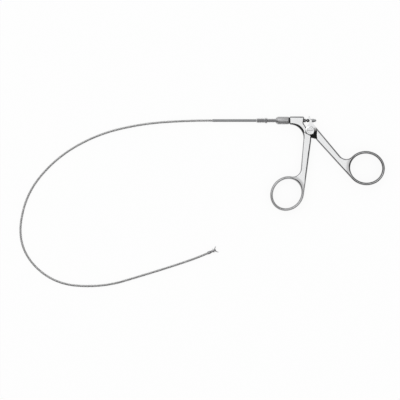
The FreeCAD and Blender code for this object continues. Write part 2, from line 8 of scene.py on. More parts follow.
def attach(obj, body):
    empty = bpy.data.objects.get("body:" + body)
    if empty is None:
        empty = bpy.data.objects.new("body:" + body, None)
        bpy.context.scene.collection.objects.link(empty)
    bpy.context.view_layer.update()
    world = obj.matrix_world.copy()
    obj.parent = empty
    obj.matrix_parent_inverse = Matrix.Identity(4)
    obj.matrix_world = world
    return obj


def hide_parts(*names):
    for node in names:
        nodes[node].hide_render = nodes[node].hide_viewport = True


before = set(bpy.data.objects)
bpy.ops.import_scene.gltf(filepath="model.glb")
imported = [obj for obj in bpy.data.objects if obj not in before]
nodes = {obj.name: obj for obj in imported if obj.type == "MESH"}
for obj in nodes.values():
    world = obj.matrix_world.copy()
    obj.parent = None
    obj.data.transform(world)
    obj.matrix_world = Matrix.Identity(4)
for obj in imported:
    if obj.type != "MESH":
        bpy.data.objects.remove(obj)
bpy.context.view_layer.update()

mm = 0.001
scene = bpy.context.scene
scene.view_settings.view_transform = "Standard"

# sizes that several pieces share, in millimetres as everything below
depth = 6.2
midZ = depth / 2
shaftY = 7.6
joinReach = 0.5  # how far joined shapes reach into each other
# finger rings: centre, radii, tilt, share of painted shade on the round band, bearing of the neck
rings = [((-17.3, -48.1), (13.7, 12.5), 52.0, 0.15, 46.0),
         ((43.0, -28.7), (14.3, 13.1), -8.0, 0.9, 163.0)]
bandEnds = (1.0, 1.13)  # in ring radii, where a ring's painted shade starts to fade and is gone


# camera, straight above the tray
cameraSet = {
    "pixels": 400,
    "mmPerPixel": 0.763,
    "pivotPixel": (309.8, 130.5),
    "lens": 250.0,
    "sensor": 36.0,
    "clip": (0.1, 50.0),
}


def makeCamera():
    data = bpy.data.cameras.new("camera")
    data.lens = cameraSet["lens"]
    data.sensor_width = cameraSet["sensor"]
    data.clip_start, data.clip_end = cameraSet["clip"]
    half = cameraSet["pixels"] / 2
    scale = cameraSet["mmPerPixel"] * mm
    distance = half * scale * 2 * data.lens / data.sensor_width
    pivotX, pivotY = cameraSet["pivotPixel"]
    camera = bpy.data.objects.new("camera", data)
    camera.location = ((half - pivotX) * scale, (pivotY - half) * scale, distance + midZ * mm)
    scene.collection.objects.link(camera)
    scene.camera = camera


makeCamera()
print("camera ready")


# mesh helpers: pieces are shaped in millimetres and end in metres at the origin
def addObject(name, mesh):
    piece = bpy.data.objects.new(name, mesh)
    scene.collection.objects.link(piece)
    return piece


def toObject(name, bm):
    mesh = bpy.data.meshes.new(name)
    bm.to_mesh(mesh)
    bm.free()
    return addObject(name, mesh)


def toPiece(name, bm):
    bmesh.ops.remove_doubles(bm, verts=bm.verts, dist=0.0005)
    bmesh.ops.recalc_face_normals(bm, faces=bm.faces)
    return toObject(name, bm)


def applyModifiers(piece):
    bpy.context.view_layer.update()
    solved = piece.evaluated_get(bpy.context.evaluated_depsgraph_get())
    mesh = bpy.data.meshes.new_from_object(solved)
    piece.modifiers.clear()
    piece.data = mesh


def combine(piece, other, operation):
    joined = piece.modifiers.new("combine", "BOOLEAN")
    joined.operation = operation
    joined.solver = "EXACT"
    joined.object = other
    applyModifiers(piece)
    bpy.data.objects.remove(other)


def cleanMesh(mesh, reach):
    # closes the hairline gaps that cuts and caps leave
    bm = bmesh.new()
    bm.from_mesh(mesh)
    bmesh.ops.remove_doubles(bm, verts=bm.verts, dist=reach)
    bmesh.ops.dissolve_degenerate(bm, edges=bm.edges, dist=reach / 4)
    bmesh.ops.holes_fill(bm, edges=[edge for edge in bm.edges if edge.is_boundary], sides=6)
    bmesh.ops.recalc_face_normals(bm, faces=bm.faces)
    bm.to_mesh(mesh)
    bm.free()


def finishPiece(piece, body, material, smoothAngle=32.0):
    mesh = piece.data
    cleanMesh(mesh, 0.002)
    mesh.transform(Matrix.Scale(mm, 4))
    mesh.shade_smooth()
    mesh.set_sharp_from_angle(angle=math.radians(smoothAngle))
    mesh.materials.clear()
    mesh.materials.append(material)
    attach(piece, body)
    return piece


def wholeOf(bm):
    return bm.verts[:] + bm.edges[:] + bm.faces[:]


def vertsOf(items):
    return [item for item in items if isinstance(item, bmesh.types.BMVert)]


def edgesOf(items):
    return [item for item in items if isinstance(item, bmesh.types.BMEdge)]


def fromNode(nodeName):
    bm = bmesh.new()
    bm.from_mesh(nodes[nodeName].data)
    bmesh.ops.scale(bm, vec=(1 / mm,) * 3, verts=bm.verts)
    bmesh.ops.remove_doubles(bm, verts=bm.verts, dist=0.001)
    return bm


def spun(points, axisStart, axis, steps=64):
    # turned solid from a profile of points in the plane of the axis
    bm = bmesh.new()
    verts = [bm.verts.new(point) for point in points]
    edges = [bm.edges.new(pair) for pair in zip(verts, verts[1:])]
    bmesh.ops.spin(bm, geom=verts + edges, cent=axisStart, axis=axis, angle=2 * math.pi,
                   steps=steps, use_merge=True, use_duplicate=False)
    return bm


def rodShape(radius, xLow, xHigh, y=shaftY, z=midZ, steps=48):
    return spun([(xLow, y, z), (xLow, y + radius, z), (xHigh, y + radius, z), (xHigh, y, z)],
                (xLow, y, z), (1, 0, 0), steps)


def discShape(radius, zLow, zHigh, steps=96):
    return spun([(0, 0, zLow), (radius, 0, zLow), (radius, 0, zHigh), (0, 0, zHigh)],
                (0, 0, zLow), (0, 0, 1), steps)


def swept(points, move):
    # solid swept from a flat outline
    bm = bmesh.new()
    face = bm.faces.new([bm.verts.new(point) for point in points])
    raised = bmesh.ops.extrude_face_region(bm, geom=[face])
    bmesh.ops.translate(bm, vec=move, verts=vertsOf(raised["geom"]))
    return bm


def prism(points, zLow, zHigh):
    return swept([(x, y, zLow) for x, y in points], (0, 0, zHigh - zLow))


# node groups that the steels share
def newGroup(name, inputs, outputs):
    group = bpy.data.node_groups.new(name, "ShaderNodeTree")
    for label, kind, value in inputs:
        socket = group.interface.new_socket(label, in_out="INPUT", socket_type=kind)
        socket.default_value = value
    for label, kind in outputs:
        group.interface.new_socket(label, in_out="OUTPUT", socket_type=kind)
    return group, group.nodes.new("NodeGroupInput"), group.nodes.new("NodeGroupOutput")


def addNode(tree, kind, **values):
    node = tree.nodes.new(kind)
    for label, value in values.items():
        setattr(node, label, value)
    return node


def makeGrainGroup():
    # drawn or ground lines along one direction, with a slow cloud over them
    group, given, made = newGroup("metalGrain", [
        ("Stretch", "NodeSocketVector", (1.0, 1.0, 1.0)),
        ("Fineness", "NodeSocketFloat", 4000.0),
        ("Cloud Size", "NodeSocketFloat", 160.0),
    ], [("Lines", "NodeSocketFloat"), ("Cloud", "NodeSocketFloat")])
    link = group.links.new
    place = addNode(group, "ShaderNodeTexCoord")
    stretched = addNode(group, "ShaderNodeVectorMath", operation="MULTIPLY")
    lines = addNode(group, "ShaderNodeTexNoise")
    lines.inputs["Detail"].default_value = 3.0
    cloud = addNode(group, "ShaderNodeTexNoise")
    cloud.inputs["Detail"].default_value = 4.0
    link(place.outputs["Object"], stretched.inputs[0])
    link(given.outputs["Stretch"], stretched.inputs[1])
    link(stretched.outputs["Vector"], lines.inputs["Vector"])
    link(given.outputs["Fineness"], lines.inputs["Scale"])
    link(place.outputs["Object"], cloud.inputs["Vector"])
    link(given.outputs["Cloud Size"], cloud.inputs["Scale"])
    link(lines.outputs["Fac"], made.inputs["Lines"])
    link(cloud.outputs["Fac"], made.inputs["Cloud"])
    return group


def makeScratchGroup():
    # thin handling marks: narrow bands of a stretched noise, kept in loose patches
    group, given, made = newGroup("handlingMarks", [
        ("Turn", "NodeSocketFloat", 0.6),
        ("Amount", "NodeSocketFloat", 0.5),
    ], [("Marks", "NodeSocketFloat")])
    link = group.links.new
    place = addNode(group, "ShaderNodeTexCoord")
    turn = addNode(group, "ShaderNodeVectorRotate", rotation_type="Z_AXIS")
    squeeze = addNode(group, "ShaderNodeVectorMath", operation="MULTIPLY")
    squeeze.inputs[1].default_value = (90.0, 2600.0, 600.0)
    lines = addNode(group, "ShaderNodeTexNoise")
    lines.inputs["Scale"].default_value = 1.0
    lines.inputs["Detail"].default_value = 1.0
    band = addNode(group, "ShaderNodeMapRange")
    band.inputs["From Min"].default_value = 0.66
    band.inputs["From Max"].default_value = 0.72
    patch = addNode(group, "ShaderNodeTexNoise")
    patch.inputs["Scale"].default_value = 220.0
    spread = addNode(group, "ShaderNodeMapRange")
    spread.inputs["From Min"].default_value = 0.45
    spread.inputs["From Max"].default_value = 0.7
    both = addNode(group, "ShaderNodeMath", operation="MULTIPLY")
    scaled = addNode(group, "ShaderNodeMath", operation="MULTIPLY")
    link(place.outputs["Object"], turn.inputs["Vector"])
    link(given.outputs["Turn"], turn.inputs["Angle"])
    link(turn.outputs["Vector"], squeeze.inputs[0])
    link(squeeze.outputs["Vector"], lines.inputs["Vector"])
    link(lines.outputs["Fac"], band.inputs["Value"])
    link(place.outputs["Object"], patch.inputs["Vector"])
    link(patch.outputs["Fac"], spread.inputs["Value"])
    link(band.outputs["Result"], both.inputs[0])
    link(spread.outputs["Result"], both.inputs[1])
    link(both.outputs["Value"], scaled.inputs[0])
    link(given.outputs["Amount"], scaled.inputs[1])
    link(scaled.outputs["Value"], made.inputs["Marks"])
    return group


def makeRollGroup():
    # 0 on the ground flats, 1 where the surface has rolled over to a side wall
    group, given, made = newGroup("rolledSide", [
        ("Flat Ends", "NodeSocketFloat", 0.97),
        ("Wall Begins", "NodeSocketFloat", 0.5),
    ], [("Side", "NodeSocketFloat")])
    link = group.links.new
    place = addNode(group, "ShaderNodeTexCoord")
    parts = addNode(group, "ShaderNodeSeparateXYZ")
    upright = addNode(group, "ShaderNodeMath", operation="ABSOLUTE")
    side = addNode(group, "ShaderNodeMapRange", interpolation_type="SMOOTHSTEP")
    link(place.outputs["Normal"], parts.inputs["Vector"])
    link(parts.outputs["Z"], upright.inputs[0])
    link(upright.outputs["Value"], side.inputs["Value"])
    link(given.outputs["Flat Ends"], side.inputs["From Min"])
    link(given.outputs["Wall Begins"], side.inputs["From Max"])
    link(side.outputs["Result"], made.inputs["Side"])
    return group


def makeBandGroup():
    # 1 on the round band of an elliptical ring, easing to 0 where the shank leaves it
    group, given, made = newGroup("ringBand", [
        ("Centre", "NodeSocketVector", (0.0, 0.0, 0.0)),
        ("Tilt", "NodeSocketFloat", 0.0),
        ("One Over Radii", "NodeSocketVector", (70.0, 70.0, 0.0)),
    ], [("Band", "NodeSocketFloat")])
    link = group.links.new
    place = addNode(group, "ShaderNodeTexCoord")
    offset = addNode(group, "ShaderNodeVectorMath", operation="SUBTRACT")
    turned = addNode(group, "ShaderNodeVectorRotate", rotation_type="Z_AXIS", invert=True)
    scaled = addNode(group, "ShaderNodeVectorMath", operation="MULTIPLY")
    away = addNode(group, "ShaderNodeVectorMath", operation="LENGTH")
    band = addNode(group, "ShaderNodeMapRange", interpolation_type="SMOOTHSTEP")
    band.inputs["From Min"].default_value = bandEnds[1]
    band.inputs["From Max"].default_value = bandEnds[0]
    link(place.outputs["Object"], offset.inputs[0])
    link(given.outputs["Centre"], offset.inputs[1])
    link(offset.outputs["Vector"], turned.inputs["Vector"])
    link(given.outputs["Tilt"], turned.inputs["Angle"])
    link(turned.outputs["Vector"], scaled.inputs[0])
    link(given.outputs["One Over Radii"], scaled.inputs[1])
    link(scaled.outputs["Vector"], away.inputs[0])
    link(away.outputs["Value"], band.inputs["Value"])
    link(band.outputs["Result"], made.inputs["Band"])
    return group


def makeDepthShadeGroup():
    # painted shade that deepens along an axis from one place to another
    group, given, made = newGroup("depthPaintedShade", [
        ("Axis", "NodeSocketVector", (0.0, 1.0, 0.0)),
        ("Plain At", "NodeSocketFloat", 0.0),
        ("Dark At", "NodeSocketFloat", -0.002),
    ], [("Depth Shade", "NodeSocketFloat")])
    link = group.links.new
    place = addNode(group, "ShaderNodeTexCoord")
    along = addNode(group, "ShaderNodeVectorMath", operation="DOT_PRODUCT")
    deepens = addNode(group, "ShaderNodeMapRange", interpolation_type="SMOOTHSTEP")
    link(place.outputs["Object"], along.inputs[0])
    link(given.outputs["Axis"], along.inputs[1])
    link(along.outputs["Value"], deepens.inputs["Value"])
    link(given.outputs["Plain At"], deepens.inputs["From Min"])
    link(given.outputs["Dark At"], deepens.inputs["From Max"])
    link(deepens.outputs["Result"], made.inputs["Depth Shade"])
    return group


grainGroup = makeGrainGroup()
scratchGroup = makeScratchGroup()
rollGroup = makeRollGroup()
bandGroup = makeBandGroup()
depthShadeGroup = makeDepthShadeGroup()


def onBand(tree, plain, paintedBandShades, masks):
    # one colour off the rings and another on their bands, where the darker band colour is painted
    # shade
    mixed = addNode(tree, "ShaderNodeMix", data_type="RGBA")
    mixed.inputs["A"].default_value = (*plain, 1.0)
    mixed.inputs["B"].default_value = (*paintedBandShades, 1.0)
    tree.links.new(masks, mixed.inputs["Factor"])
    return mixed.outputs["Result"]


def ringMask(tree):
    both = addNode(tree, "ShaderNodeMath", operation="MAXIMUM")
    for index, ring in enumerate(rings):
        (x, y), (long, short), tilt = ring[:3]
        band = addNode(tree, "ShaderNodeGroup", node_tree=bandGroup)
        band.inputs["Centre"].default_value = (x * mm, y * mm, 0.0)
        band.inputs["Tilt"].default_value = math.radians(tilt)
        band.inputs["One Over Radii"].default_value = (1 / (long * mm), 1 / (short * mm), 0.0)
        tree.links.new(band.outputs["Band"], both.inputs[index])
    return both.outputs["Value"]


def newMaterial(name):
    material = bpy.data.materials.new(name)
    material.use_nodes = True
    return material, material.node_tree.nodes["Principled BSDF"]


def makeSteel(name, look):
    material, shader = newMaterial(name)
    tree = material.node_tree
    link = tree.links.new
    shader.inputs["Metallic"].default_value = 1.0
    grain = addNode(tree, "ShaderNodeGroup", node_tree=grainGroup)
    grain.inputs["Stretch"].default_value = look["stretch"]
    grain.inputs["Fineness"].default_value = look["fineness"]
    grain.inputs["Cloud Size"].default_value = look["cloudSize"]
    marks = addNode(tree, "ShaderNodeGroup", node_tree=scratchGroup)
    marks.inputs["Turn"].default_value = look["markTurn"]
    marks.inputs["Amount"].default_value = look["markAmount"]
    # colour drifts between two greys with the cloud, and a little with the lines
    blendShare = addNode(tree, "ShaderNodeMath", operation="MULTIPLY_ADD")
    blendShare.inputs[1].default_value = 0.4
    shade = addNode(tree, "ShaderNodeMix", data_type="RGBA")
    shade.inputs["A"].default_value = (*look["darkShade"], 1.0)
    shade.inputs["B"].default_value = (*look["lightShade"], 1.0)
    sideSocket = None
    if "band" in look:
        # painted shade: the rings' bands take darker greys of their own
        masks = ringMask(tree)
        paintedBandShades = look["band"]
        link(onBand(tree, look["darkShade"], paintedBandShades["darkShade"], masks), shade.inputs["A"])
        link(onBand(tree, look["lightShade"], paintedBandShades["lightShade"], masks), shade.inputs["B"])
        sideSocket = onBand(tree, look["paintedSideReflection"], paintedBandShades["paintedSideReflection"], masks)
    # painted reflection: walls rolled over from the ground flats take their own grey, darker on
    # most steels, lighter on the coil, tube, collar and ferrules
    roll = addNode(tree, "ShaderNodeGroup", node_tree=rollGroup)
    roll.inputs["Flat Ends"].default_value = look["flatEnds"]
    roll.inputs["Wall Begins"].default_value = look["wallBegins"]
    walled = addNode(tree, "ShaderNodeMix", data_type="RGBA")
    walled.inputs["B"].default_value = (*look["paintedSideReflection"], 1.0)
    sideMask = roll.outputs["Side"]
    if "deepPaintedShade" in look:
        # the share of painted shade darkens the walls' painted reflection towards a near-black
        # painted shade, and brings it in earlier
        paintedShade = addNode(tree, "ShaderNodeAttribute", attribute_name="paintedShade")
        deepened = addNode(tree, "ShaderNodeMix", data_type="RGBA")
        deepened.inputs["A"].default_value = (*look["paintedSideReflection"], 1.0)
        deepened.inputs["B"].default_value = (*look["deepPaintedShade"], 1.0)
        link(paintedShade.outputs["Fac"], deepened.inputs["Factor"])
        if sideSocket:
            link(sideSocket, deepened.inputs["A"])
        link(deepened.outputs["Result"], walled.inputs["B"])
        gain = addNode(tree, "ShaderNodeMath", operation="MULTIPLY_ADD")
        gain.inputs[1].default_value = look["paintedShadeGain"]
        gain.inputs[2].default_value = 1.0
        earlier = addNode(tree, "ShaderNodeMath", operation="MULTIPLY", use_clamp=True)
        link(paintedShade.outputs["Fac"], gain.inputs[0])
        link(gain.outputs["Value"], earlier.inputs[0])
        link(sideMask, earlier.inputs[1])
        sideMask = earlier.outputs["Value"]
    link(grain.outputs["Lines"], blendShare.inputs[0])
    link(grain.outputs["Cloud"], blendShare.inputs[2])
    link(blendShare.outputs["Value"], shade.inputs["Factor"])
    link(sideMask, walled.inputs["Factor"])
    link(shade.outputs["Result"], walled.inputs["A"])
    # painted shade deepening along an axis: into the slot's recess, and down the screw below its
    # head's top
    if "depthShadeSpan" in look:
        depthShade = addNode(tree, "ShaderNodeGroup", node_tree=depthShadeGroup)
        depthShade.inputs["Axis"].default_value = look["depthShadeAxis"]
        depthShade.inputs["Plain At"].default_value = look["depthShadeSpan"][0] * mm
        depthShade.inputs["Dark At"].default_value = look["depthShadeSpan"][1] * mm
        depthShaded = addNode(tree, "ShaderNodeMix", data_type="RGBA")
        depthShaded.inputs["B"].default_value = (*look["depthShadeColour"], 1.0)
        link(depthShade.outputs["Depth Shade"], depthShaded.inputs["Factor"])
        link(walled.outputs["Result"], depthShaded.inputs["A"])
        link(depthShaded.outputs["Result"], shader.inputs["Base Color"])
    else:
        link(walled.outputs["Result"], shader.inputs["Base Color"])
    # roughness from the lines, the cloud and the marks
    rough = addNode(tree, "ShaderNodeMapRange")
    rough.inputs["From Min"].default_value = 0.25
    rough.inputs["From Max"].default_value = 0.75
    rough.inputs["To Min"].default_value = look["roughness"][0]
    rough.inputs["To Max"].default_value = look["roughness"][1]
    rougher = addNode(tree, "ShaderNodeMath", operation="MULTIPLY_ADD")
    rougher.inputs[1].default_value = 0.25
    link(grain.outputs["Cloud"], rough.inputs["Value"])
    link(marks.outputs["Marks"], rougher.inputs[0])
    link(rough.outputs["Result"], rougher.inputs[2])
    link(rougher.outputs["Value"], shader.inputs["Roughness"])
    # the lines and the marks also stand in the surface
    height = addNode(tree, "ShaderNodeMath", operation="MULTIPLY_ADD")
    height.inputs[1].default_value = -0.8
    bump = addNode(tree, "ShaderNodeBump")
    bump.inputs["Strength"].default_value = look["bump"]
    bump.inputs["Distance"].default_value = 0.00002
    link(marks.outputs["Marks"], height.inputs[0])
    link(grain.outputs["Lines"], height.inputs[2])
    link(height.outputs["Value"], bump.inputs["Height"])
    link(bump.outputs["Normal"], shader.inputs["Normal"])
    return material


# in the looks below, the grey for rolled walls is a painted reflection, and the ring band greys,
# the deep shade and the darkening spans are painted shade
steelLooks = {
    "handleSteel": {
        "darkShade": (0.74, 0.745, 0.75), "lightShade": (0.84, 0.845, 0.85),
        "roughness": (0.16, 0.30), "stretch": (1.0, 0.12, 0.6), "fineness": 5200.0,
        "cloudSize": 120.0, "markTurn": 0.6, "markAmount": 0.5, "bump": 0.12,
        "paintedSideReflection": (0.21, 0.21, 0.215), "flatEnds": 0.97, "wallBegins": 0.45,
        "deepPaintedShade": (0.03, 0.03, 0.032), "paintedShadeGain": 4.0,
        "band": {"darkShade": (0.46, 0.46, 0.465), "lightShade": (0.58, 0.58, 0.585),
                 "paintedSideReflection": (0.30, 0.30, 0.305)},
    },
    # darker copy of the handle steel for the slot's faces: painted shade, deepening to near black
    # towards -y
    "recessShadedSteel": {
        "darkShade": (0.50, 0.50, 0.50), "lightShade": (0.62, 0.62, 0.62),
        "roughness": (0.30, 0.45), "stretch": (1.0, 0.3, 1.0), "fineness": 6000.0,
        "cloudSize": 300.0, "markTurn": 0.6, "markAmount": 0.4, "bump": 0.15,
        "paintedSideReflection": (0.12, 0.12, 0.12), "flatEnds": 0.9, "wallBegins": 0.4,
        "depthShadeSpan": (2.4, -1.2), "depthShadeAxis": (0.0, 1.0, 0.0), "depthShadeColour": (0.012, 0.012, 0.012),
    },
    # painted shade: the screw turns darker below its head's top face, down its slot and sides
    "screwSteel": {
        "darkShade": (0.70, 0.705, 0.71), "lightShade": (0.80, 0.805, 0.81),
        "roughness": (0.18, 0.30), "stretch": (1.0, 1.0, 0.3), "fineness": 6000.0,
        "cloudSize": 300.0, "markTurn": 0.9, "markAmount": 0.4, "bump": 0.10,
        "paintedSideReflection": (0.5, 0.5, 0.5), "flatEnds": 0.9, "wallBegins": 0.4,
        "depthShadeSpan": (6.42, 6.1), "depthShadeAxis": (0.0, 0.0, 1.0), "depthShadeColour": (0.42, 0.42, 0.42),
    },
    "collarSteel": {
        "darkShade": (0.36, 0.36, 0.365), "lightShade": (0.43, 0.43, 0.435),
        "roughness": (0.34, 0.44), "stretch": (0.08, 1.0, 1.0), "fineness": 7000.0,
        "cloudSize": 260.0, "markTurn": 0.0, "markAmount": 0.3, "bump": 0.06,
        "paintedSideReflection": (0.5, 0.5, 0.505), "flatEnds": 0.8, "wallBegins": 0.4,
    },
    "ferruleSteel": {
        "darkShade": (0.13, 0.13, 0.135), "lightShade": (0.21, 0.21, 0.215),
        "roughness": (0.20, 0.32), "stretch": (1.0, 0.06, 0.06), "fineness": 7000.0,
        "cloudSize": 260.0, "markTurn": 1.4, "markAmount": 0.3, "bump": 0.10,
        "paintedSideReflection": (0.85, 0.85, 0.85), "flatEnds": 0.97, "wallBegins": 0.6,
    },
    "darkSteel": {
        "darkShade": (0.12, 0.12, 0.125), "lightShade": (0.20, 0.20, 0.205),
        "roughness": (0.26, 0.42), "stretch": (1.0, 0.08, 0.08), "fineness": 9000.0,
        "cloudSize": 500.0, "markTurn": 0.2, "markAmount": 0.2, "bump": 0.15,
        "paintedSideReflection": (0.09, 0.09, 0.095), "flatEnds": 0.95, "wallBegins": 0.4,
    },
    "tubeSteel": {
        "darkShade": (0.21, 0.215, 0.22), "lightShade": (0.29, 0.295, 0.30),
        "roughness": (0.18, 0.30), "stretch": (0.03, 1.0, 1.0), "fineness": 9000.0,
        "cloudSize": 200.0, "markTurn": 1.5, "markAmount": 0.3, "bump": 0.10,
        "paintedSideReflection": (0.5, 0.5, 0.51), "flatEnds": 0.9, "wallBegins": 0.3,
    },
    "coilSteel": {
        "darkShade": (0.44, 0.44, 0.44), "lightShade": (0.58, 0.58, 0.58),
        "roughness": (0.22, 0.36), "stretch": (1.0, 1.0, 1.0), "fineness": 3500.0,
        "cloudSize": 60.0, "markTurn": 0.0, "markAmount": 0.0, "bump": 0.05,
        "paintedSideReflection": (0.88, 0.88, 0.88), "flatEnds": 0.9, "wallBegins": 0.2,
    },
    "wireSteel": {
        "darkShade": (0.50, 0.50, 0.51), "lightShade": (0.62, 0.62, 0.63),
        "roughness": (0.25, 0.35), "stretch": (0.05, 1.0, 1.0), "fineness": 9000.0,
        "cloudSize": 300.0, "markTurn": 0.0, "markAmount": 0.0, "bump": 0.05,
        "paintedSideReflection": (0.4, 0.4, 0.41), "flatEnds": 0.9, "wallBegins": 0.3,
    },
    "tipSteel": {
        "darkShade": (0.20, 0.20, 0.205), "lightShade": (0.30, 0.30, 0.305),
        "roughness": (0.20, 0.34), "stretch": (0.3, 1.0, 1.0), "fineness": 12000.0,
        "cloudSize": 700.0, "markTurn": 0.9, "markAmount": 0.2, "bump": 0.12,
        "paintedSideReflection": (0.24, 0.24, 0.25), "flatEnds": 0.95, "wallBegins": 0.4,
    },
}
steels = {name: makeSteel(name, look) for name, look in steelLooks.items()}
print("steels ready:", len(steels))


# flexible coil, its pull wire and the route that both follow
coilSet = {
    "route": [
        (-74.2, 7.6, 3.1), (-92.6, 7.6, 3.1), (-128.8, 5.2, 1.05), (-164.1, -3.5, 1.05),
        (-195.6, -22.3, 1.05), (-218.1, -50.9, 1.05), (-222.9, -89.4, 1.05),
        (-197.3, -116.8, 1.05), (-159.2, -120.0, 1.05), (-125.1, -109.9, 1.05),
        (-99.0, -101.7, 1.05), (-84.8, -96.7, 1.2), (-77.7, -93.6, 1.2),
    ],
    "length": 358.8,
    "radius": 1.01,
    "wireRadius": 0.195,
    "pitch": 0.392,
    "pointsPerTurn": 12,
    "routeSteps": 48,
    "pullRadius": 0.4,
    "pullRouteSteps": 12,
    "pullStep": 1.2,
    "pullStartX": -60.02,
    "pullEndInset": 1.89,
}


def readRoute(points, perRun):
    data = bpy.data.curves.new("routeLine", "CURVE")
    data.dimensions = "3D"
    data.resolution_u = perRun
    spline = data.splines.new("NURBS")
    spline.points.add(len(points) - 1)
    for point, place in zip(spline.points, points):
        point.co = (place[0] * mm, place[1] * mm, place[2] * mm, 1.0)
    spline.order_u = 3
    spline.use_endpoint_u = True
    holder = bpy.data.objects.new("routeLine", data)
    mesh = bpy.data.meshes.new_from_object(holder)
    line = [vert.co.copy() for vert in mesh.vertices]
    bpy.data.objects.remove(holder)
    bpy.data.curves.remove(data)
    bpy.data.meshes.remove(mesh)
    return line


def evenly(line, step):
    # the same line with points a fixed step apart
    made = [line[0].copy()]
    left = step
    for start, end in zip(line, line[1:]):
        run = (end - start).length
        travelled = 0.0
        while run - travelled >= left:
            travelled += left
            made.append(start.lerp(end, travelled / run))
            left = step
        left -= run - travelled
    return made


def wireMesh(name, points, radius, sides):
    data = bpy.data.curves.new(name, "CURVE")
    data.dimensions = "3D"
    data.bevel_depth = radius
    data.bevel_resolution = sides
    data.use_fill_caps = True
    spline = data.splines.new("POLY")
    spline.points.add(len(points) - 1)
    for point, place in zip(spline.points, points):
        point.co = (*place, 1.0)
    holder = bpy.data.objects.new(name, data)
    mesh = bpy.data.meshes.new_from_object(holder)
    bpy.data.objects.remove(holder)
    bpy.data.curves.remove(data)
    cleanMesh(mesh, 0.001 * mm)
    mesh.shade_smooth()
    return mesh


def makeCoil():
    line = readRoute(coilSet["route"], coilSet["routeSteps"])
    step = coilSet["pitch"] * mm / coilSet["pointsPerTurn"]
    middle = evenly(line, step)
    turnRadius = (coilSet["radius"] - coilSet["wireRadius"]) * mm
    wound = []
    for index, point in enumerate(middle):
        before = middle[max(index - 1, 0)]
        after = middle[min(index + 1, len(middle) - 1)]
        heading = (after - before).normalized()
        side = heading.cross(Vector((0, 0, 1))).normalized()
        lift = side.cross(heading)
        angle = 2 * math.pi * index / coilSet["pointsPerTurn"]
        wound.append(point + (side * math.cos(angle) + lift * math.sin(angle)) * turnRadius)
    mesh = wireMesh("coilSheathWound", wound, coilSet["wireRadius"] * mm, 1)
    coil = addObject("coilSheathWound", mesh)
    coil.data.materials.append(steels["coilSteel"])
    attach(coil, "fixed_half")
    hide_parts("coil_sheath")
    return coil, line


def makePullWire():
    route = coilSet["route"]
    end, before = Vector(route[-1]), Vector(route[-2])
    reach = end + (end - before).normalized() * coilSet["pullEndInset"]
    points = [(coilSet["pullStartX"], shaftY, midZ)] + route[1:-1] + [tuple(reach)]
    line = evenly(readRoute(points, coilSet["pullRouteSteps"]), coilSet["pullStep"] * mm)
    wire = addObject("pullWireCore", wireMesh("pullWireCore", line, coilSet["pullRadius"] * mm, 2))
    wire.data.materials.append(steels["wireSteel"])
    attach(wire, "fixed_half")
    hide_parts("pull_wire")
    return wire


coil, coilLine = makeCoil()
pullWire = makePullWire()
print("coil ready, triangles", 2 * len(coil.data.polygons))


# world, floor and lamps
studio = {
    "middle": (-0.06, -0.04, 0.0),
    "floorSize": 9.0,
    "floorColour": (0.96, 0.96, 0.96, 1.0),
    "floorShow": 0.92,
    "roomLight": 0.75,
    # each lamp: name, place, size and power
    "lamps": [("keyLamp", (-0.9, 0.9, 1.5), 1.0, 5.0), ("fillLamp", (1.1, -0.7, 1.2), 0.9, 2.0)],
    "flagDistance": 0.55,
    "flagShade": (0.08, 0.08, 0.08, 1.0),
    # each flag: first bearing, sweep, lowest and highest angle above the floor, in degrees
    "flags": [(-75.0, 150.0, 2.0, 52.0), (175.0, 80.0, 2.0, 50.0), (255.0, 30.0, 2.0, 32.0)],
}


def seenShare(tree):
    # 1 for what the camera, mirrors and glass see, 0 for light on surfaces
    path = addNode(tree, "ShaderNodeLightPath")
    first = addNode(tree, "ShaderNodeMath", operation="MAXIMUM")
    second = addNode(tree, "ShaderNodeMath", operation="MAXIMUM")
    tree.links.new(path.outputs["Is Camera Ray"], first.inputs[0])
    tree.links.new(path.outputs["Is Glossy Ray"], first.inputs[1])
    tree.links.new(first.outputs["Value"], second.inputs[0])
    tree.links.new(path.outputs["Is Transmission Ray"], second.inputs[1])
    return second.outputs["Value"]


def makeWorld():
    world = bpy.data.worlds.new("studio")
    scene.world = world
    world.use_nodes = True
    tree = world.node_tree
    seen = seenShare(tree)
    strength = addNode(tree, "ShaderNodeMapRange")
    strength.inputs["To Min"].default_value = studio["roomLight"]
    strength.inputs["To Max"].default_value = 1.0
    tree.links.new(seen, strength.inputs["Value"])
    background = tree.nodes["Background"]
    background.inputs["Color"].default_value = (1.0, 1.0, 1.0, 1.0)
    tree.links.new(strength.outputs["Result"], background.inputs["Strength"])


def makeFloor():
    bm = bmesh.new()
    bmesh.ops.create_grid(bm, x_segments=1, y_segments=1, size=studio["floorSize"] / 2)
    floor = toObject("floor", bm)
    material, shader = newMaterial("paleFloor")
    tree = material.node_tree
    shader.inputs["Base Color"].default_value = studio["floorColour"]
    shader.inputs["Roughness"].default_value = 0.9
    shader.inputs["Specular IOR Level"].default_value = 0.1
    glow = addNode(tree, "ShaderNodeEmission")
    share = addNode(tree, "ShaderNodeMath", operation="MULTIPLY")
    share.inputs[1].default_value = studio["floorShow"]
    mixed = addNode(tree, "ShaderNodeMixShader")
    tree.links.new(seenShare(tree), share.inputs[0])
    tree.links.new(share.outputs["Value"], mixed.inputs["Fac"])
    tree.links.new(shader.outputs["BSDF"], mixed.inputs[1])
    tree.links.new(glow.outputs["Emission"], mixed.inputs[2])
    tree.links.new(mixed.outputs["Shader"], tree.nodes["Material Output"].inputs["Surface"])
    floor.data.materials.append(material)


